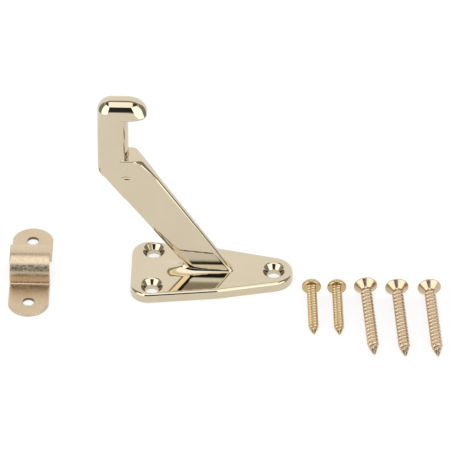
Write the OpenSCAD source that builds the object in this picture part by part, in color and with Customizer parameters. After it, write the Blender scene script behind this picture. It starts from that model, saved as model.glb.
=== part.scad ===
// Handrail bracket kit: a cast bracket, a stamped rail strap and their five wood screws,
// laid out loose on a flat surface. Millimetres, +Z up, and the origin is the centre of the
// bracket's mounting face. Mounted, that face is on the wall and -X is up, towards the rail.

/* [Base plate] */
// Length of the base plate, from its wide end to its nose
base_l = 68; // [64:1:74]
// Width of the base plate at its wide end
base_w = 34.2; // [32:0.2:40]
// Thickness of the base plate
base_t = 4.8; // [4:0.1:6]
// Corner radius of the wide end
base_corner_r = 7.5; // [6:0.5:10]
// Radius of the nose
nose_r = 8.6; // [8:0.1:10]
// Half width of the plate at its middle, where the sides bow out
belly_r = 13.9; // [13.5:0.1:15]
// Bevel round the top edge of the plate
base_bevel = 1; // [0.4:0.1:1.5]

/* [Wall screw holes] */
// Distance from the pair of holes to the single hole
hole_pitch_x = 50.8; // [48:0.1:54]
// Distance between the two holes of the pair
hole_pitch_y = 22; // [18:0.5:26]
// Distance of the pair of holes from the wide end
hole_inset = 9.15; // [8.5:0.05:11]
// Diameter of the holes
hole_d = 5.5; // [5:0.1:6]
// Diameter of the countersinks at the face
sink_d = 9.6; // [8:0.1:11]

/* [Arm] */
// Left end of the arm where it meets the plate
arm_foot_x0 = -9.5; // [-12:0.5:-8]
// Right end of the arm where it meets the plate
arm_foot_x1 = 9; // [8:0.5:11]
// Thickness of the arm
arm_t = 3.4; // [3:0.1:6]
// Height at which the arm starts to thicken into the post
bend_z = 56; // [52:1:58]
// Fillet between the arm and the plate
foot_r = 5; // [3:0.5:6]

/* [Post and head] */
// Left face of the post, the face that the rail rests on
post_x0 = -47.1; // [-49:0.1:-46]
// Width of the post along X
post_w = 12.8; // [11:0.1:14]
// Depth of the post and of the head along Y
post_d = 9.8; // [9:0.1:12]
// Radius of the post's two left edges
post_edge_r = 2.5; // [1:0.1:3.5]
// Lower end of the post's full section
post_z0 = 61.5; // [60:0.5:63]
// Height of the ledge under the strap
ledge_z = 67.9; // [66:0.1:70]
// Depth of the ledge along Y
ledge_d = 8.6; // [7:0.1:9.6]
// Right end of the ledge
ledge_x1 = -28.6; // [-30:0.1:-27]
// Radius of the shoulder at the right end of the ledge
shoulder_r = 3; // [2:0.5:5]
// Underside of the head
head_z0 = 89.4; // [88:0.1:91]
// Height of the whole bracket
total_h = 98.2; // [96:0.1:102]
// Length of the head along X
head_l = 20.6; // [18:0.1:23]
// Rounding of the head's top edges
head_r = 4.6; // [1:0.2:4.6]

/* [Rail strap] */
// Where the middle of the strap lies along X
strap_x = -76.2; // [-90:0.1:-70]
// Width of the strap
strap_w = 17; // [14:0.5:19]
// Length over the two tabs
strap_l = 53.8; // [50:0.1:60]
// Thickness of the sheet
strap_t = 1.5; // [1:0.1:2]
// Distance between the strap's screw holes
strap_pitch = 38; // [34:0.5:42]
// Diameter of the strap's screw holes
strap_hole_d = 4.8; // [4.4:0.1:5.2]
// Outside radius of the hump that wraps round the post
hump_r = 8.2; // [7.5:0.1:9]
// Height of the hump
hump_h = 13.5; // [12:0.1:15]
// Outside radius of the bends at the foot of the hump
bend_r = 2.3; // [2.1:0.1:3]

/* [Screws] */
// Overall length of a wall screw
wall_screw_l = 40; // [32:1:50]
// Thread diameter of a wall screw
wall_screw_d = 4.9; // [4.5:0.1:5.2]
// Thread pitch of a wall screw
wall_pitch = 2; // [1.8:0.1:2.4]
// Head diameter of a wall screw
wall_head_d = 9.8; // [9:0.1:11]
// Length of a rail screw under its head
rail_screw_l = 26.3; // [19:0.1:30]
// Thread diameter of a rail screw
rail_screw_d = 4.3; // [3.8:0.1:4.5]
// Thread pitch of a rail screw
rail_pitch = 1.42; // [1.2:0.02:1.8]
// Head diameter of a rail screw
rail_head_d = 8.1; // [7.5:0.1:9]
// Head height of a rail screw
rail_head_h = 2.8; // [2:0.1:3.5]

/* [Hidden] */
eps = 0.01;

base_x0 = -base_l / 2;
pair_x = base_x0 + hole_inset;
single_x = pair_x + hole_pitch_x;
sink_half_angle = 41;
head_half_angle = 44.5;
sink_h = (sink_d - hole_d) / 2 / tan(sink_half_angle);

arm_h = ledge_z - base_t;
arm_lean_left = 0.68;
arm_lean_right = 0.614;

post_x1 = post_x0 + post_w;
head_x1 = post_x0 + head_l;

hump_z = hump_h - hump_r;
tab_end_r = strap_w * 0.52;

// Tip position and turn of each screw as it lies, [x, y, turn]
RAIL_SCREWS = [[43.6, -36.15, 3.44], [54.2, -36.05, 3.44]];
WALL_SCREWS = [[68.9, -48.2, 6.25], [81.8, -48.7, 5.95], [95.3, -48.4, 5.85]];

module brass() {
    color([0.84, 0.77, 0.6]) children();
}

module screw_brass() {
    color([0.86, 0.7, 0.46]) children();
}

// ---- Bracket ----

module base_outline() {
    corner_x = base_x0 + base_corner_r;
    corner_y = base_w / 2 - base_corner_r;
    hull() {
        for (side = [-1, 1]) translate([corner_x, side * corner_y]) circle(base_corner_r, $fn = 48);
        translate([base_l / 2 - nose_r, 0]) circle(nose_r, $fn = 48);
        circle(belly_r, $fn = 96);
    }
}

module base_plate() {
    hull() {
        linear_extrude(base_t - base_bevel) base_outline();
        linear_extrude(base_t) offset(delta = -base_bevel) base_outline();
    }
}

module wall_hole(x, y) {
    translate([x, y, -1]) cylinder(h = base_t + 2, d = hole_d, $fn = 48);
    translate([x, y, base_t - sink_h])
        cylinder(h = sink_h + eps, d1 = hole_d, d2 = sink_d + 2 * eps * tan(sink_half_angle), $fn = 48);
}

function arm_left(z) = arm_foot_x0 - (z - base_t) * arm_lean_left;
function arm_right(z) = arm_foot_x1 - (z - base_t) * arm_lean_right;

// The flat slanting web, from just inside the plate to the shoulder
module arm() {
    low = base_t - 1;
    rotate([90, 0, 0])
        linear_extrude(arm_t, center = true)
            polygon([
                [arm_left(low), low],
                [arm_right(low), low],
                [arm_right(bend_z + 1), bend_z + 1],
                [arm_left(bend_z + 1), bend_z + 1]
            ]);
}

// Concave fillets between the web's two faces and the plate
module foot() {
    low = base_t - 1;
    top = base_t + foot_r;
    intersection() {
        rotate([90, 0, 90])
            linear_extrude(base_l, center = true)
                difference() {
                    translate([-arm_t / 2 - foot_r, low]) square([arm_t + 2 * foot_r, foot_r + 1]);
                    for (side = [-1, 1])
                        translate([side * (arm_t / 2 + foot_r), top]) circle(foot_r, $fn = 48);
                }
        rotate([90, 0, 0])
            linear_extrude(base_w, center = true)
                polygon([
                    [arm_left(low) - foot_r, low],
                    [arm_left(base_t) - foot_r, base_t],
                    [arm_left(base_t + 1.5) - 1.5, base_t + 1.5],
                    [arm_left(top), top],
                    [arm_right(top), top],
                    [arm_right(base_t), base_t],
                    [arm_right(low), low]
                ]);
    }
}

// Bar section with a half-round right end and small radii on its left edges
module bar_section(length, edge_r) {
    half = post_d / 2;
    translate([post_x0 + length - half, 0]) circle(half, $fn = 64);
    translate([post_x0 + edge_r, -half]) square([length - half - edge_r, post_d]);
    translate([post_x0, edge_r - half]) square([length - half, post_d - 2 * edge_r]);
    for (side = [-1, 1])
        translate([post_x0 + edge_r, side * (half - edge_r)]) circle(edge_r, $fn = 32);
}

// Where the web thickens into the post and carries the ledge
module shoulder() {
    hull() {
        translate([arm_left(bend_z), -arm_t / 2, bend_z])
            cube([arm_right(bend_z) - arm_left(bend_z), arm_t, 1]);
        translate([0, 0, post_z0])
            linear_extrude(ledge_z - post_z0) bar_section(post_w, post_edge_r);
        translate([ledge_x1 - shoulder_r, 0, ledge_z - shoulder_r])
            rotate([90, 0, 0]) cylinder(h = ledge_d, r = shoulder_r, center = true, $fn = 32);
    }
}

module post() {
    translate([0, 0, ledge_z])
        linear_extrude(head_z0 - ledge_z) bar_section(post_w, post_edge_r);
}

// Head with rounded top edges, built up from inset outlines inside one hull
module head() {
    hull() {
        translate([0, 0, head_z0]) linear_extrude(1) bar_section(head_l, post_edge_r);
        for (angle = [0:22.5:90]) {
            inset = head_r * (1 - cos(angle));
            translate([0, 0, total_h - head_r + head_r * sin(angle) - eps])
                linear_extrude(eps)
                    offset(delta = -inset) bar_section(head_l, post_edge_r);
        }
    }
}

module bracket() {
    brass() difference() {
        union() {
            base_plate();
            foot();
            arm();
            shoulder();
            post();
            head();
        }
        for (side = [-1, 1]) wall_hole(pair_x, side * hole_pitch_y / 2);
        wall_hole(single_x, 0);
    }
}

// ---- Rail strap ----

module ring(outer_r, inner_r) {
    difference() {
        circle(outer_r, $fn = 96);
        circle(inner_r, $fn = 96);
    }
}

// One half of the bent sheet's edge: quarter hump, wall, bend and tab
module strap_half_profile() {
    inner_r = hump_r - strap_t;
    foot_y = inner_r + bend_r;
    intersection() {
        translate([0, hump_z]) ring(hump_r, inner_r);
        translate([0, hump_z]) square(hump_r + 1);
    }
    translate([inner_r, bend_r]) square([strap_t, hump_z - bend_r]);
    intersection() {
        translate([foot_y, bend_r]) ring(bend_r, bend_r - strap_t);
        translate([inner_r, 0]) square(bend_r);
    }
    translate([foot_y, 0]) square([strap_l / 2 + 1 - foot_y, strap_t]);
}

// Omega-shaped edge of the bent sheet, drawn in the Y-Z plane
module strap_profile() {
    strap_half_profile();
    mirror([1, 0]) strap_half_profile();
}

module strap_outline() {
    end_y = strap_l / 2 - tab_end_r;
    intersection() {
        translate([-strap_w / 2, -strap_l / 2]) square([strap_w, strap_l]);
        union() {
            translate([-strap_w / 2, -end_y]) square([strap_w, 2 * end_y]);
            for (side = [-1, 1]) translate([0, side * end_y]) circle(tab_end_r, $fn = 96);
        }
    }
}

module rail_strap() {
    brass() translate([strap_x, 0, 0]) difference() {
        intersection() {
            rotate([90, 0, 90]) linear_extrude(strap_w, center = true) strap_profile();
            linear_extrude(hump_h + 1) strap_outline();
        }
        for (side = [-1, 1])
            translate([0, side * strap_pitch / 2, -1])
                cylinder(h = strap_t + 2, d = strap_hole_d, $fn = 48);
    }
}

// ---- Screws, drawn point down along +Z with the tip at the origin ----

wall_point_l = 4.5;
rail_point_l = 4;
screw_rim = 0.5;

// Radius and height of the first crest of a thread
function first_crest(d, pitch, taper_l) = [d / 2, taper_l + 0.35 * pitch];

// Half profile of a threaded shank: the point, then one tooth for each turn of the thread
function thread_outline(length, d, pitch, taper_l) =
    let (crest = d / 2, root = d * 0.34, turns = floor((length - taper_l) / pitch))
    concat(
        [[0, 0], [0.25, 0], [root, taper_l]],
        [for (turn = [0:turns - 1]) each [
            [crest, taper_l + (turn + 0.35) * pitch],
            [crest, taper_l + (turn + 0.5) * pitch],
            [root, taper_l + (turn + 0.85) * pitch]
        ]],
        [[root, length], [0, length]]
    );

// Tapered cross recess, cut down from height z
module cross_recess(z, span, depth) {
    for (turn = [0, 90])
        rotate([90, 0, turn])
            linear_extrude(0.9, center = true)
                polygon([[-span / 2, z + 1], [-span / 2, z], [-span / 5, z - depth],
                    [span / 5, z - depth], [span / 2, z], [span / 2, z + 1]]);
}

module wall_screw() {
    neck_z = wall_screw_l - screw_rim - (wall_head_d - wall_screw_d * 0.68) / 2 / tan(head_half_angle);
    difference() {
        rotate_extrude($fn = 48)
            polygon(concat(
                [for (p = thread_outline(neck_z, wall_screw_d, wall_pitch, wall_point_l)) if (p[0] > 0 || p[1] == 0) p],
                [[wall_head_d / 2, wall_screw_l - screw_rim], [wall_head_d / 2, wall_screw_l], [0, wall_screw_l]]
            ));
        cross_recess(wall_screw_l, 5.4, 2.6);
    }
}

module rail_screw() {
    dome = rail_head_h * 0.6;
    top = rail_screw_l + rail_head_h;
    difference() {
        rotate_extrude($fn = 48)
            polygon(concat(
                [for (p = thread_outline(rail_screw_l, rail_screw_d, rail_pitch, rail_point_l)) if (p[0] > 0 || p[1] == 0) p],
                [[rail_head_d / 2, rail_screw_l], [rail_head_d / 2, top - dome]],
                [for (a = [30:30:60]) [rail_head_d / 2 - dome * (1 - cos(a)), top - dome + dome * sin(a)]],
                [[rail_head_d / 2 - dome, top], [0, top]]
            ));
        cross_recess(top, 4.2, 2);
    }
}

// Lays a screw on the floor: the first crest of the thread and the rim of the head touch it
module lay_down(place, crest, rim) {
    tilt = atan((rim[0] - crest[0]) / (rim[1] - crest[1]));
    translate([place[0], place[1], crest[0] * cos(tilt) - crest[1] * sin(tilt) + 0.05])
        rotate([0, 0, place[2]])
            rotate([tilt - 90, 0, 0])
                children();
}

module laid_wall_screw(index) {
    crest = first_crest(wall_screw_d, wall_pitch, wall_point_l);
    rim = [wall_head_d / 2, wall_screw_l - screw_rim];
    screw_brass() lay_down(WALL_SCREWS[index], crest, rim) wall_screw();
}

module laid_rail_screw(index) {
    crest = first_crest(rail_screw_d, rail_pitch, rail_point_l);
    rim = [rail_head_d / 2, rail_screw_l];
    screw_brass() lay_down(RAIL_SCREWS[index], crest, rim) rail_screw();
}

bracket();
rail_strap();
laid_rail_screw(0);  // rail_screw_1
laid_rail_screw(1);  // rail_screw_2
laid_wall_screw(0);  // wall_screw_1
laid_wall_screw(1);  // wall_screw_2
laid_wall_screw(2);  // wall_screw_3
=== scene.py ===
"""Looks for the handrail bracket kit: a polished bracket, a satin rail strap and five screws.

Shapes are written as distance fields in millimetres and turned into smooth meshes, so that every
edge has a real radius for the polished metal to reflect in.
"""

import math

import bpy
import numpy as np
from mathutils import Matrix, Vector


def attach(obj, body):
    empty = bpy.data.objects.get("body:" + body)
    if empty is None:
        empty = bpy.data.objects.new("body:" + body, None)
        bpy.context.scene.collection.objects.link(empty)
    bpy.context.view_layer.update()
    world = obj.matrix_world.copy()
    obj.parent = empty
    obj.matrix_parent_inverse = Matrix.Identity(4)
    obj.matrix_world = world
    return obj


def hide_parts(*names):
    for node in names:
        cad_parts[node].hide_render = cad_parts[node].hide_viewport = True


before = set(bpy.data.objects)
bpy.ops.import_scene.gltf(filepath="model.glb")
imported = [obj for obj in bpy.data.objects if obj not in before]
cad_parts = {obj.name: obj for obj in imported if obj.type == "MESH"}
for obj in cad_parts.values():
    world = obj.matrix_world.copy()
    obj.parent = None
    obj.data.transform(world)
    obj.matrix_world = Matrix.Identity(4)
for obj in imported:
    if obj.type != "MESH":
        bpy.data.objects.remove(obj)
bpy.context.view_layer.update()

MM = 0.001

# ---- Camera ----

CAMERA_AZIMUTH = math.radians(1.7)
CAMERA_ELEVATION = math.radians(41.9)
CAMERA_DISTANCE = 2.758
CAMERA_LENS = 520.3
CAMERA_AIM = Vector((0.0045, 0.033, 0.0))

# Edges of the overhead light panel, in degrees from the horizon behind the camera
PANEL_START, PANEL_END = 41.9, 95.0


def make_camera():
    data = bpy.data.cameras.new("camera")
    data.sensor_width = 36
    data.lens = CAMERA_LENS
    data.clip_end = 20
    camera = bpy.data.objects.new("camera", data)
    bpy.context.scene.collection.objects.link(camera)
    back = Vector((
        math.sin(CAMERA_AZIMUTH) * math.cos(CAMERA_ELEVATION),
        -math.cos(CAMERA_AZIMUTH) * math.cos(CAMERA_ELEVATION),
        math.sin(CAMERA_ELEVATION),
    ))
    camera.location = CAMERA_AIM + back * CAMERA_DISTANCE
    camera.rotation_mode = "QUATERNION"
    camera.rotation_quaternion = (-back).to_track_quat("-Z", "Y")
    bpy.context.scene.camera = camera


# ---- Distance fields: negative inside, in millimetres ----

def round_both(a, b, radius):
    """Where a and b overlap, with the edge between them rounded."""
    corner = np.hypot(np.maximum(a + radius, 0), np.maximum(b + radius, 0))
    return np.minimum(np.maximum(a, b), -radius) + corner


def round_either(a, b, radius):
    """a joined to b, with a fillet in the corner between them."""
    return -round_both(-a, -b, radius)


def soft_step_up(t, softness):
    """0 below t = 0 and t above it, with a soft bend."""
    return 0.5 * (t + np.sqrt(t * t + softness * softness))


# ---- Meshes from distance fields ----

def slope(field, points, reach=0.02):
    """Gradient of the field, from four samples round each point."""
    total = np.zeros_like(points)
    for corner in ((1, -1, -1), (-1, -1, 1), (-1, 1, -1), (1, 1, 1)):
        offset = np.array(corner, float)
        value = field(*(points + reach * offset).T)
        total += value[:, None] * offset
    return total / (4 * reach)


def settle(field, points, most, rounds):
    """Moves the points onto the surface, by at most that distance each round."""
    for _ in range(rounds):
        gradient = slope(field, points)
        push = field(*points.T) / np.maximum((gradient ** 2).sum(1), 0.05)
        move = gradient * push[:, None]
        length = np.linalg.norm(move, axis=1, keepdims=True)
        points = points - move * np.minimum(1, most / np.maximum(length, 1e-9))
    return points


def relax(points, quads):
    """Each point moved to the middle of its neighbours."""
    total = np.zeros_like(points)
    count = np.zeros(len(points))
    for side in range(4):
        a, b = quads[:, side], quads[:, (side + 1) % 4]
        for here, there in ((a, b), (b, a)):
            count += np.bincount(here, minlength=len(points))
            for axis in range(3):
                total[:, axis] += np.bincount(here, points[there, axis], minlength=len(points))
    return total / count[:, None]


def surface_of(field, low, high, step):
    """Vertices, quads and normals of the surface where the field is zero."""
    axes = [np.arange(a - 2.3 * step, b + 3 * step, step) for a, b in zip(low, high)]
    inside = field(*np.meshgrid(*axes, indexing="ij", sparse=True)) < 0
    last_x, last_y, last_z = (size - 1 for size in inside.shape)
    corners = sum(
        inside[i:last_x + i, j:last_y + j, k:last_z + k].astype(np.int8)
        for i in (0, 1) for j in (0, 1) for k in (0, 1)
    )
    active = (corners > 0) & (corners < 8)
    index = np.full(active.shape, -1)
    index[active] = np.arange(active.sum())
    cells = np.argwhere(active)
    points = np.stack([axes[n][cells[:, n]] + step / 2 for n in range(3)], 1)
    quads = []
    for axis in range(3):
        order = (axis, (axis + 1) % 3, (axis + 2) % 3)
        filled, cell = inside.transpose(order), index.transpose(order)
        first, second = filled[:-1, 1:-1, 1:-1], filled[1:, 1:-1, 1:-1]
        ring = (cell[:, :-1, :-1], cell[:, 1:, :-1], cell[:, 1:, 1:], cell[:, :-1, 1:])
        for mask, way in ((first & ~second, 1), (~first & second, -1)):
            quads.append(np.stack([c[mask] for c in ring[::way]], 1))
    quads = np.concatenate(quads)
    points = settle(field, points, step, 3)
    for _ in range(3):
        points = settle(field, relax(points, quads), step / 2, 1)
    points = settle(field, points, step / 2, 2)
    normals = slope(field, points)
    normals /= np.linalg.norm(normals, axis=1, keepdims=True)
    return points, quads, normals


def make_piece(name, surface, place, material):
    """A Blender mesh from vertices, quads and normals in millimetres, put in its place."""
    points, quads, normals = surface
    turn = np.array(place.to_3x3())
    shift = np.array(place.translation)
    points = (points @ turn.T + shift) * MM
    mesh = bpy.data.meshes.new(name)
    mesh.vertices.add(len(points))
    mesh.vertices.foreach_set("co", points.ravel())
    mesh.loops.add(quads.size)
    mesh.loops.foreach_set("vertex_index", quads.ravel())
    mesh.polygons.add(len(quads))
    mesh.polygons.foreach_set("loop_start", np.arange(0, quads.size, 4))
    mesh.update(calc_edges=True)
    mesh.validate()
    mesh.polygons.foreach_set("use_smooth", np.ones(len(mesh.polygons), bool))
    mesh.normals_split_custom_set_from_vertices(normals @ turn.T)
    mesh.materials.append(material)
    piece = bpy.data.objects.new(name, mesh)
    bpy.context.scene.collection.objects.link(piece)
    return piece


# ---- Bracket ----

BASE_X0, BASE_T = -34.0, 4.8
CORNER = (-26.5, 9.6, 7.5)
BELLY = (0.0, 0.0, 13.9)
NOSE = (25.4, 0.0, 8.6)
BASE_EDGE_R = 1.3
HOLES = ((-24.85, 11.0), (25.95, 0.0))
HOLE_R, SINK_R = 2.75, 4.8
SINK_ANGLE = math.radians(41)

ARM_FOOT_X0, ARM_FOOT_X1 = -9.5, 9.0
ARM_LEAN_LEFT, ARM_LEAN_RIGHT = 0.68, 0.614
ARM_HALF, ARM_DRAFT, ARM_EDGE_R, LEDGE_EDGE_R = 1.6, 0.009, 1.5, 0.7
BEND_Z = 56.0
# Radius of the foot's fillet at its left and right ends
FOOT_R, TOE_R = 7.0, 0.8
# A faint swelling across the arm, just above the foot
RIPPLE, RIPPLE_Z, RIPPLE_W = 0.056, 8.3, 1.6
# A shallow dent in the arm's front face
DENT_X, DENT_Z, DENT_R, DENT_DEPTH = -35.1, 56.2, 5.0, 0.3

POST_X0, POST_W, POST_HALF, POST_EDGE_R = -47.1, 12.8, 4.9, 2.5
LEDGE_Z, LEDGE_HALF, SHOULDER_R = 67.9, 4.3, 3.0
HEAD_Z0, HEAD_Z1, HEAD_L = 89.4, 98.2, 20.6
HEAD_LEFT_R, HEAD_TIP_L, HEAD_TIP_H, HEAD_LIP_R = 6.0, 8.0, 6.4, 0.9


def tangent(a, b):
    """Outward normal of the line that touches circles a and b on their +Y side."""
    across = math.atan2(b[1] - a[1], b[0] - a[0])
    lift = math.acos((a[2] - b[2]) / math.hypot(b[0] - a[0], b[1] - a[1]))
    return across + lift


def base_outline(x, y):
    """Plan of the plate: corner, belly and nose circles joined by their tangents."""
    y = np.abs(y)
    turns = [math.pi, tangent(CORNER, BELLY), tangent(BELLY, NOSE), 0.0]
    field = BASE_X0 - x
    for (cx, cy, r), turn in zip((CORNER, BELLY), turns[1:]):
        line = (x - cx) * math.cos(turn) + (y - cy) * math.sin(turn) - r
        field = np.maximum(field, line)
    for (cx, cy, r), start, end in zip((CORNER, BELLY, NOSE), turns, turns[1:]):
        angle = np.arctan2(y - cy, x - cx)
        angle = np.where(angle < -math.pi / 2, angle + 2 * math.pi, angle)
        in_arc = (angle <= start) & (angle >= end)
        field = np.where(in_arc, np.hypot(x - cx, y - cy) - r, field)
    return field


def smooth(t):
    """0 below t = 0, 1 above t = 1, and a smooth ramp between."""
    t = np.clip(t, 0, 1)
    return t * t * (3 - 2 * t)


def post_section(x, y, z):
    """Plan of the post: half-round right side, smaller radii on the left that grow into the head."""
    edge_r = POST_EDGE_R + (POST_HALF - POST_EDGE_R) * smooth((z - 80) / 10)
    centre = POST_X0 + POST_W - POST_HALF
    square_end = round_both(POST_X0 - x, np.abs(y) - POST_HALF, edge_r)
    return np.where(x > centre, np.hypot(x - centre, y) - POST_HALF, square_end)


def head_field(x, y, z):
    """Thumb-shaped head: rounded all over its top, with a flat underside."""
    tip_x = POST_X0 + HEAD_L
    centre_x, centre_z = tip_x - HEAD_TIP_L, HEAD_Z1 - HEAD_TIP_H
    squeeze = HEAD_TIP_H / HEAD_TIP_L
    tip = np.hypot(np.maximum(x - centre_x, 0) * squeeze, np.maximum(z - centre_z, 0)) - HEAD_TIP_H
    outline = np.maximum(tip, round_both(POST_X0 - x, z - HEAD_Z1, HEAD_LEFT_R))
    crown_r = POST_HALF - 1.9 * smooth((centre_z + 1.5 - z) / 3) * smooth((x - tip_x + 9) / 4)
    head = round_both(outline, np.abs(y) - POST_HALF, crown_r)
    lip_r = HEAD_LIP_R + 1.2 * smooth((x - tip_x + 7) / 5)
    return round_both(head, HEAD_Z0 - z, lip_r)


def arm_field(x, y, z):
    """Leaning web that widens into the ledge, and the post above it."""
    left = (ARM_FOOT_X0 - ARM_LEAN_LEFT * (z - BASE_T) - x) / math.hypot(1, ARM_LEAN_LEFT)
    right = (x - ARM_FOOT_X1 + ARM_LEAN_RIGHT * (z - BASE_T)) / math.hypot(1, ARM_LEAN_RIGHT)
    top = z - LEDGE_Z
    blunt = left * (0.45 + 0.45 * smooth((z - 25) / 25))
    side = np.maximum(round_both(blunt, POST_X0 + 1.5 - x, 3), round_both(right, top, SHOULDER_R))
    flare = (z - BEND_Z) / (LEDGE_Z - BEND_Z)
    web = ARM_HALF + ARM_DRAFT * z + RIPPLE * np.exp(-((z - RIPPLE_Z) / RIPPLE_W) ** 2)
    ledge = web + soft_step_up(flare * (LEDGE_HALF - ARM_HALF), 0.1)
    side_r = np.minimum(ARM_EDGE_R + 2.2 * smooth(flare), 0.95 * ledge)
    edge_r = LEDGE_EDGE_R + (side_r - LEDGE_EDGE_R) * smooth((np.maximum(left, right) - top) / 4 + 0.5)
    arm = round_both(side, np.abs(y) - ledge, edge_r)
    post_half = web + soft_step_up(flare * (POST_HALF - ARM_HALF), 0.1)
    post = np.maximum(post_section(x, y, z), z - HEAD_Z0 - 2)
    post = round_both(round_both(post, left, 2), np.abs(y) - post_half, 1)
    into = y + DENT_R + web - DENT_DEPTH
    reach = np.sqrt((0.8 * (x - DENT_X)) ** 2 + into ** 2 + (1.8 * (z - DENT_Z)) ** 2)
    dent = DENT_R - reach
    return round_both(np.minimum(arm, post), dent, 0.15)


def bracket_field(x, y, z):
    plate = round_both(base_outline(x, y) + 0.03 * z, z - BASE_T, BASE_EDGE_R)
    plate = round_both(plate, -z, 0.4)
    foot_r = TOE_R + (FOOT_R - TOE_R) * np.clip((ARM_FOOT_X1 - x) / 27, 0, 1) ** 2.5
    body = round_either(plate, arm_field(x, y, z), foot_r)
    body = np.maximum(np.minimum(body, head_field(x, y, z)), -z)
    for hole_x, hole_y in HOLES:
        reach = np.hypot(x - hole_x, np.abs(y) - hole_y)
        cone = (reach - SINK_R + (BASE_T - z) * math.tan(SINK_ANGLE)) * math.cos(SINK_ANGLE)
        cut = np.maximum(np.minimum(reach - HOLE_R, cone), z - BASE_T - 1)
        body = round_both(body, -cut, 0.3)
    return body


# ---- Rail strap ----

STRAP_X = -76.2
STRAP_W, STRAP_L, STRAP_T = 17.0, 53.8, 1.5
HUMP_R, HUMP_H, BEND_R = 8.2, 13.5, 2.3
# Slope of the hump's legs, which stand closer together at the foot
WALL_LEAN = -0.13
STRAP_HOLE_Y, STRAP_HOLE_R = 19.0, 2.4
TAB_R = STRAP_W * 0.52


def strap_field(x, y, z):
    y = np.abs(y)
    hump_z = HUMP_H - HUMP_R
    plan_y = y
    y = y - WALL_LEAN * soft_step_up(hump_z - z, 1)
    middle = HUMP_R - STRAP_T / 2
    foot_y = HUMP_R - STRAP_T + BEND_R
    far = 99.0
    hump = np.where(z > hump_z, np.abs(np.hypot(y, z - hump_z) - middle), far)
    wall = np.hypot(y - middle, np.maximum(BEND_R - z, 0) + np.maximum(z - hump_z, 0))
    bend = np.abs(np.hypot(y - foot_y, z - BEND_R) - (BEND_R - STRAP_T / 2))
    bend = np.where((y < foot_y) & (z < BEND_R), bend, far)
    tab = np.hypot(z - STRAP_T / 2, np.maximum(foot_y - y, 0))
    sheet = np.minimum(np.minimum(hump, wall), np.minimum(bend, tab)) - STRAP_T / 2
    end_y = STRAP_L / 2 - TAB_R
    tab_end = np.where(plan_y > end_y, np.hypot(x, plan_y - end_y) - TAB_R, -far)
    strap = round_both(sheet, np.maximum(np.abs(x) - STRAP_W / 2, tab_end), 0.25)
    return round_both(strap, STRAP_HOLE_R - np.hypot(x, plan_y - STRAP_HOLE_Y), 0.2)


# ---- Screws, point down along +Z with the tip at the origin ----

WALL_SCREW = {
    "length": 40.0,
    "thread_r": 2.45,
    "pitch": 2.0,
    "point": 6.0,
    "head_r": 4.9,
}
RAIL_SCREW = {
    "length": 26.3,
    "thread_r": 2.15,
    "pitch": 1.42,
    "point": 4.6,
    "head_r": 4.05,
    "head_h": 2.8,
}
# Height of the thread's ridge, as a share of its radius
THREAD_DEPTH = 0.17
# Half angle of the wall screws' heads
HEAD_ANGLE = math.radians(44.5)


def thread_field(x, y, z, screw, end):
    """Pointed core with a rounded helical ridge that runs out at both ends."""
    reach, turn = np.hypot(x, y), np.arctan2(y, x) / (2 * math.pi)
    taper = np.clip(z / screw["point"], 0, 1) ** 0.62
    ridge = (0.5 + 0.5 * np.cos(2 * math.pi * (z / screw["pitch"] - turn))) ** 2.2
    run_out = smooth((end - z) / 1.5) * smooth(z / screw["point"] - 0.1)
    height = screw["thread_r"] * THREAD_DEPTH * run_out
    core = screw["thread_r"] * (1 - THREAD_DEPTH) * taper
    return (reach - core - height * ridge) * 0.9


def cross_recess(x, y, z, top, span, depth):
    """Cross-shaped driver recess that narrows downwards."""
    drop = np.clip(top - z, 0, depth)
    arm = span / 2 - drop * 0.55
    slots = [np.maximum(np.abs(a) - arm, np.abs(b) - 0.55) for a, b in ((x, y), (y, x))]
    core = np.hypot(x, y) - 1.3 + drop * 0.35
    return np.maximum(np.minimum(np.minimum(*slots), core), top - depth - z)


def wall_screw_field(x, y, z):
    screw = WALL_SCREW
    top = screw["length"]
    reach = np.hypot(x, y)
    neck_z = top - 0.5 - (screw["head_r"] - screw["thread_r"] * 0.72) / math.tan(HEAD_ANGLE)
    shank = np.maximum(thread_field(x, y, z, screw, neck_z + 0.6), z - top + 1)
    cone = (reach - screw["head_r"] + (top - 0.5 - z) * math.tan(HEAD_ANGLE)) * math.cos(HEAD_ANGLE)
    head = round_both(np.maximum(cone, reach - screw["head_r"]), z - top, 0.2)
    body = round_either(shank, head, 0.4)
    return round_both(body, -cross_recess(x, y, z, top, 5.4, 2.6), 0.12)


def rail_screw_field(x, y, z):
    screw = RAIL_SCREW
    under, top = screw["length"], screw["length"] + screw["head_h"]
    reach = np.hypot(x, y)
    shank = np.maximum(thread_field(x, y, z, screw, under + 0.5), z - under - 1)
    head = round_both(reach - screw["head_r"], z - top, screw["head_h"] * 0.72)
    head = round_both(head, under - z, 0.7)
    body = round_either(shank, head, 0.7)
    return round_both(body, -cross_recess(x, y, z, top, 4.2, 2.0), 0.12)


# Radius and height of the two places where each kind of screw touches the floor
WALL_REST = (2.45, 5.2), (4.9, 39.5)
RAIL_REST = (2.15, 4.5), (4.05, 26.3)


def laid_down(tip_x, tip_y, turn, rest):
    """Lays a screw on the floor, with its first thread crest and the rim of its head touching it."""
    (crest_r, crest_z), (rim_r, rim_z) = rest
    tilt = math.atan((rim_r - crest_r) / (rim_z - crest_z))
    height = crest_r * math.cos(tilt) - crest_z * math.sin(tilt) + 0.05
    place = Matrix.Translation((tip_x, tip_y, height))
    spin = Matrix.Rotation(math.radians(turn), 4, "Z")
    tip_over = Matrix.Rotation(tilt - math.pi / 2, 4, "X")
    return place @ spin @ tip_over


# Tip position and turn of each screw as it lies
RAIL_SCREWS = ((43.6, -36.15, 3.44), (54.2, -36.05, 3.44))
WALL_SCREWS = ((68.9, -48.2, 6.25), (81.8, -48.7, 5.95), (95.3, -48.4, 5.85))


# ---- Materials ----

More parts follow.
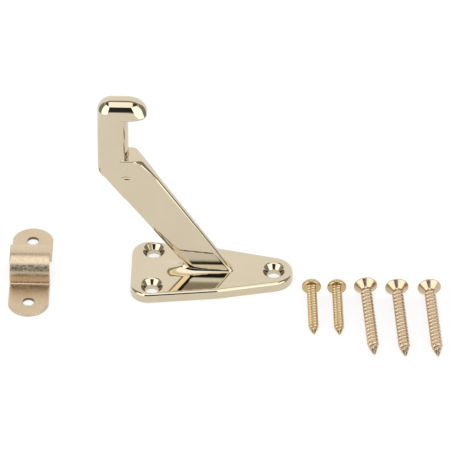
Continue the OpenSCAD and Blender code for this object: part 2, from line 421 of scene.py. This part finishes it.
# Painted shade on the wall of each punched hole, partly also the dull sheared metal there
PUNCHED_WALL_SHADE = (0.2, 0.14, 0.07)


def metal(name, colour, shade, roughness, grain, grain_size, hollow_shade=0.9, shaded_hole_walls=()):
    """Plated metal: drifting colour, uneven polish, fine grain, worn edges, painted shade in hollows,
    and painted shade on punched hole walls that also stands for their dull sheared metal.

    The hollow factor is how bright the colour stays in hollows, which darkens them as painted shade,
    and the hole list gives the centre and radius in metres of each punched hole whose wall gets
    painted shade.
    """
    material = bpy.data.materials.new(name)
    material.use_nodes = True
    nodes, links = material.node_tree.nodes, material.node_tree.links
    shader = nodes["Principled BSDF"]
    shader.inputs["Metallic"].default_value = 1
    where = nodes.new("ShaderNodeTexCoord").outputs["Object"]

    def noise(scale, detail):
        node = nodes.new("ShaderNodeTexNoise")
        node.inputs["Scale"].default_value = scale
        node.inputs["Detail"].default_value = detail
        links.new(where, node.inputs["Vector"])
        return node.outputs["Fac"]

    def spread(value, low, high, start=0.35, end=0.65):
        node = nodes.new("ShaderNodeMapRange")
        node.inputs["From Min"].default_value = start
        node.inputs["From Max"].default_value = end
        node.inputs["To Min"].default_value = low
        node.inputs["To Max"].default_value = high
        links.new(value, node.inputs["Value"])
        return node.outputs["Result"]

    def mix(factor, a, b):
        node = nodes.new("ShaderNodeMix")
        node.data_type = "RGBA"
        links.new(factor, node.inputs["Factor"])
        for socket, value in ((node.inputs[6], a), (node.inputs[7], b)):
            if isinstance(value, bpy.types.NodeSocket):
                links.new(value, socket)
            else:
                socket.default_value = (*value, 1)
        return node.outputs[2]

    drift = mix(spread(noise(60, 2), 0, 1), colour, shade)
    edge = nodes.new("ShaderNodeNewGeometry").outputs["Pointiness"]
    worn = tuple(min(1, c * 1.08) for c in colour)
    surface = mix(spread(edge, 0, 0.6, 0.52, 0.6), drift, worn)
    # Painted shade: concave hollows darkened towards the hollow factor of the colour
    shaded_hollow = tuple(c * hollow_shade for c in colour)
    surface = mix(spread(edge, 1, 0, 0.38, 0.49), surface, shaded_hollow)
    # Painted shade on each punched hole wall, partly also its dull sheared metal
    for centre, reach in shaded_hole_walls:
        distance = nodes.new("ShaderNodeVectorMath")
        distance.operation = "DISTANCE"
        links.new(where, distance.inputs[0])
        distance.inputs[1].default_value = centre
        surface = mix(spread(distance.outputs["Value"], 1, 0, reach, reach * 1.04), surface, PUNCHED_WALL_SHADE)
    links.new(surface, shader.inputs["Base Color"])
    links.new(spread(noise(900, 3), roughness * 0.8, roughness * 1.25), shader.inputs["Roughness"])
    bump = nodes.new("ShaderNodeBump")
    bump.inputs["Strength"].default_value = grain
    bump.inputs["Distance"].default_value = 0.0001
    links.new(noise(1 / grain_size, 4), bump.inputs["Height"])
    links.new(bump.outputs["Normal"], shader.inputs["Normal"])
    return material


# ---- Studio ----

FLOOR_R = 0.22
FLOOR_ALBEDO, FLOOR_GLOW = 0.3, 0.75
# Light of the room outside every zone, and of the backdrop as the camera sees it
ROOM_LIGHT, BACKDROP_LIGHT = 1.14, 1.05


def make_floor():
    material = bpy.data.materials.new("pale_floor")
    material.use_nodes = True
    shader = material.node_tree.nodes["Principled BSDF"]
    shader.inputs["Base Color"].default_value = (FLOOR_ALBEDO, FLOOR_ALBEDO, FLOOR_ALBEDO, 1)
    shader.inputs["Roughness"].default_value = 1
    shader.inputs["Specular IOR Level"].default_value = 0
    shader.inputs["Emission Color"].default_value = (1, 1, 1, 1)
    shader.inputs["Emission Strength"].default_value = FLOOR_GLOW
    mesh = bpy.data.meshes.new("floor")
    turns = [math.radians(angle) for angle in range(0, 360, 5)]
    rim = [(FLOOR_R * math.cos(turn), FLOOR_R * math.sin(turn), 0) for turn in turns]
    mesh.from_pydata(rim, [], [range(len(rim))])
    mesh.materials.append(material)
    floor = bpy.data.objects.new("floor", mesh)
    bpy.context.scene.collection.objects.link(floor)


def make_world():
    """A soft studio by direction: overhead and side panels, and the dark room behind the camera."""
    world = bpy.data.worlds.new("studio")
    world.use_nodes = True
    bpy.context.scene.world = world
    nodes, links = world.node_tree.nodes, world.node_tree.links

    def maths(operation, *values):
        node = nodes.new("ShaderNodeMath")
        node.operation = operation
        for socket, value in zip(node.inputs, values):
            if isinstance(value, bpy.types.NodeSocket):
                links.new(value, socket)
            else:
                socket.default_value = value
        return node.outputs[0]

    def between(value, low, high, soft):
        """1 where value is between low and high, falling to 0 over the soft width."""
        up = maths("DIVIDE", maths("SUBTRACT", value, low - soft / 2), soft)
        down = maths("DIVIDE", maths("SUBTRACT", high + soft / 2, value), soft)
        return maths("MAXIMUM", maths("MINIMUM", maths("MINIMUM", up, down), 1.0), 0.0)

    def lit(light, zone, level):
        """The light, changed to that level inside the zone."""
        return maths("ADD", light, maths("MULTIPLY", zone, maths("SUBTRACT", level, light)))

    split = nodes.new("ShaderNodeSeparateXYZ")
    links.new(nodes.new("ShaderNodeTexCoord").outputs["Generated"], split.inputs[0])
    x, y, z = split.outputs
    degrees = 180 / math.pi
    sideways = maths("ABSOLUTE", x)
    towards_camera = maths("MULTIPLY", y, -1.0)
    around = maths("MULTIPLY", maths("ARCTAN2", sideways, towards_camera), degrees)
    height = maths("MULTIPLY", maths("ARCSINE", z), degrees)
    over = maths("MULTIPLY", maths("ARCTAN2", z, towards_camera), degrees)

    overhead = between(over, PANEL_START - 4, PANEL_END, 4)
    seam = between(over, PANEL_END, PANEL_END + 15, 5)
    low = maths("MINIMUM", between(height, -90, PANEL_START, 3.2), between(height, -12, 90, 16))
    far_sides = maths("MULTIPLY", between(around, 70, 112, 8), between(height, -90, 40, 6))
    panel_edges = maths("MULTIPLY", overhead, between(sideways, 0.36, 0.72, 0.06))
    side_panels = maths("MULTIPLY", between(around, 19, 70, 3), between(height, -90, 46, 3))
    panel = maths("MULTIPLY", overhead, between(sideways, -1, 0.36, 0.04))
    dark_room = maths("MULTIPLY", between(around, -1, 19, 2), low)
    panel_seam = maths("MULTIPLY", seam, between(sideways, -1, 0.75, 0.1))
    light = ROOM_LIGHT
    for zone, level in (
        (far_sides, 0.3),
        (panel_edges, 0.08),
        (side_panels, 2.1),
        (panel, 1.58),
        (dark_room, 0.035),
        (panel_seam, 0.25),
    ):
        light = lit(light, zone, level)
    seen = nodes.new("ShaderNodeLightPath").outputs["Is Camera Ray"]
    light = lit(light, seen, BACKDROP_LIGHT)
    panel_rim = between(over, PANEL_START, PANEL_START + 4, 2)
    cool = maths("MULTIPLY", panel_rim, between(x, -0.3, 0.3, 0.05))
    tint = nodes.new("ShaderNodeMix")
    tint.data_type = "RGBA"
    tint.inputs["A"].default_value = (1, 0.99, 0.98, 1)
    tint.inputs["B"].default_value = (1, 1.14, 1.5, 1)
    links.new(cool, tint.inputs["Factor"])
    background = nodes["Background"]
    links.new(tint.outputs["Result"], background.inputs["Color"])
    links.new(light, background.inputs["Strength"])


# ---- The scene ----

make_camera()
make_floor()
make_world()
bpy.context.scene.view_settings.view_transform = "Standard"

# Hole walls in the strap that get painted shade
strap_shaded_hole_walls = [
    ((STRAP_X * MM, side * STRAP_HOLE_Y * MM, STRAP_T / 2 * MM), 0.00252)
    for side in (-1, 1)
]
polished = metal(
    "polished_brass", (0.625, 0.545, 0.405), (0.61, 0.53, 0.39),
    roughness=0.03, grain=0.02, grain_size=0.0025,
)
satin = metal(
    "satin_brass", (0.63, 0.51, 0.365), (0.60, 0.48, 0.335),
    roughness=0.31, grain=0.06, grain_size=0.0003, shaded_hole_walls=strap_shaded_hole_walls,
)
# Screw hollows darkened strongly, as painted shade in the thread roots
rail_brass = metal(
    "rail_screw_brass", (0.59, 0.45, 0.26), (0.56, 0.42, 0.235),
    roughness=0.16, grain=0.05, grain_size=0.001, hollow_shade=0.2,
)
wall_brass = metal(
    "wall_screw_brass", (0.58, 0.45, 0.305), (0.55, 0.42, 0.28),
    roughness=0.15, grain=0.05, grain_size=0.001, hollow_shade=0.2,
)


def add(node, surface, place, material):
    """Makes a node's visual piece, on that node's body and in its place."""
    piece = make_piece(node + "_visual", surface, place, material)
    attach(piece, node)
    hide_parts(node)


BRACKET_STEP, STRAP_STEP, SCREW_STEP = 0.5, 0.3, 0.14
BASE_HALF_W = 17.1

bracket = surface_of(
    bracket_field, (POST_X0, -BASE_HALF_W, 0), (-BASE_X0, BASE_HALF_W, HEAD_Z1), BRACKET_STEP,
)
add("bracket", bracket, Matrix.Identity(4), polished)

strap = surface_of(
    strap_field, (-STRAP_W / 2, -STRAP_L / 2, 0), (STRAP_W / 2, STRAP_L / 2, HUMP_H), STRAP_STEP,
)
add("rail_strap", strap, Matrix.Translation((STRAP_X, 0, 0)), satin)

for screws, field, screw, rest, name, material in (
    (RAIL_SCREWS, rail_screw_field, RAIL_SCREW, RAIL_REST, "rail_screw", rail_brass),
    (WALL_SCREWS, wall_screw_field, WALL_SCREW, WALL_REST, "wall_screw", wall_brass),
):
    top = screw["length"] + screw.get("head_h", 0)
    rim = screw["head_r"]
    surface = surface_of(field, (-rim, -rim, 0), (rim, rim, top), SCREW_STEP)
    for number, (tip_x, tip_y, turn) in enumerate(screws, 1):
        place = laid_down(tip_x, tip_y, turn, rest)
        add(f"{name}_{number}", surface, place, material)
